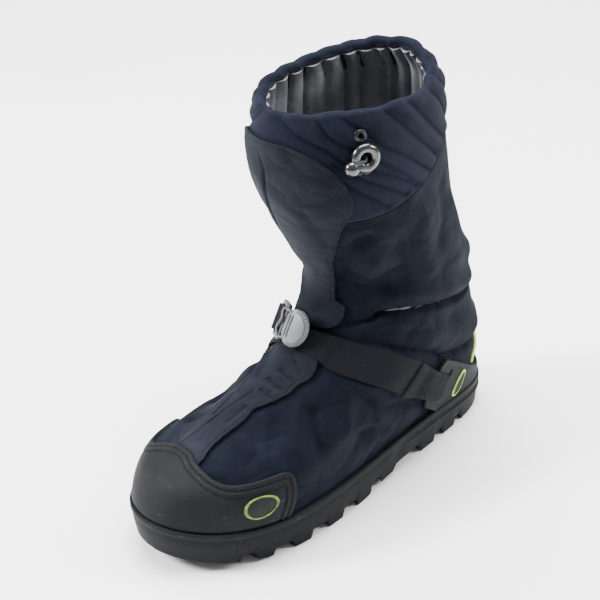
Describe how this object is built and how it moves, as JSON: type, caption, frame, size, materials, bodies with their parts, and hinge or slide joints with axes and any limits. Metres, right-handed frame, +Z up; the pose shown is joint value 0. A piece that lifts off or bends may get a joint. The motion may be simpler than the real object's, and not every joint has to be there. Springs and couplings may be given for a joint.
{
  "type": "insulated overshoe",
  "caption": "Tall padded cloth overshoe with rubber toe cap and lugged cup sole, front flap, ankle strap with buckle, and quilted collar with a drawcord lock.",
  "frame": {"origin": "on the ground, under the middle of the outsole's length and width", "axes": "+Y from the toe to the heel, +X to the outer side of the left foot, +Z up the shaft"},
  "size_m": [0.1284, 0.335, 0.3132],
  "materials": {
    "sole_rubber": "matte, finely grained",
    "cap_rubber": "matte, pebbled",
    "upper_cloth": "dense woven cloth",
    "cuff_cloth": "smooth stretch cloth over padding",
    "webbing": "woven strap",
    "buckle_plastic": "satin",
    "badge_rubber": "satin, bare",
    "lime_trim": "satin, bare",
    "eyelet_metal": "black lacquer",
    "lock_plastic": "glossy black",
    "cord_elastic": "braided elastic",
    "insole_felt": "felt"
  },
  "bodies": {
    "root": {"outsole": "sole_rubber", "insole": "insole_felt", "upper": "upper_cloth", "collar_cuff": "cuff_cloth", "toe_cap": "cap_rubber", "heel_counter": "cap_rubber", "shaft_flap": "upper_cloth", "vamp_flap": "upper_cloth", "strap_lateral": "webbing", "strap_medial": "webbing", "buckle_frame": "buckle_plastic", "buckle_lever": "buckle_plastic", "toe_badge": "badge_rubber", "heel_badge": "lime_trim", "heel_piping": "lime_trim", "cord_eyelet": "eyelet_metal", "cord_lock": "lock_plastic", "cord_end": "cord_elastic"}
  },
  "joints": []
}
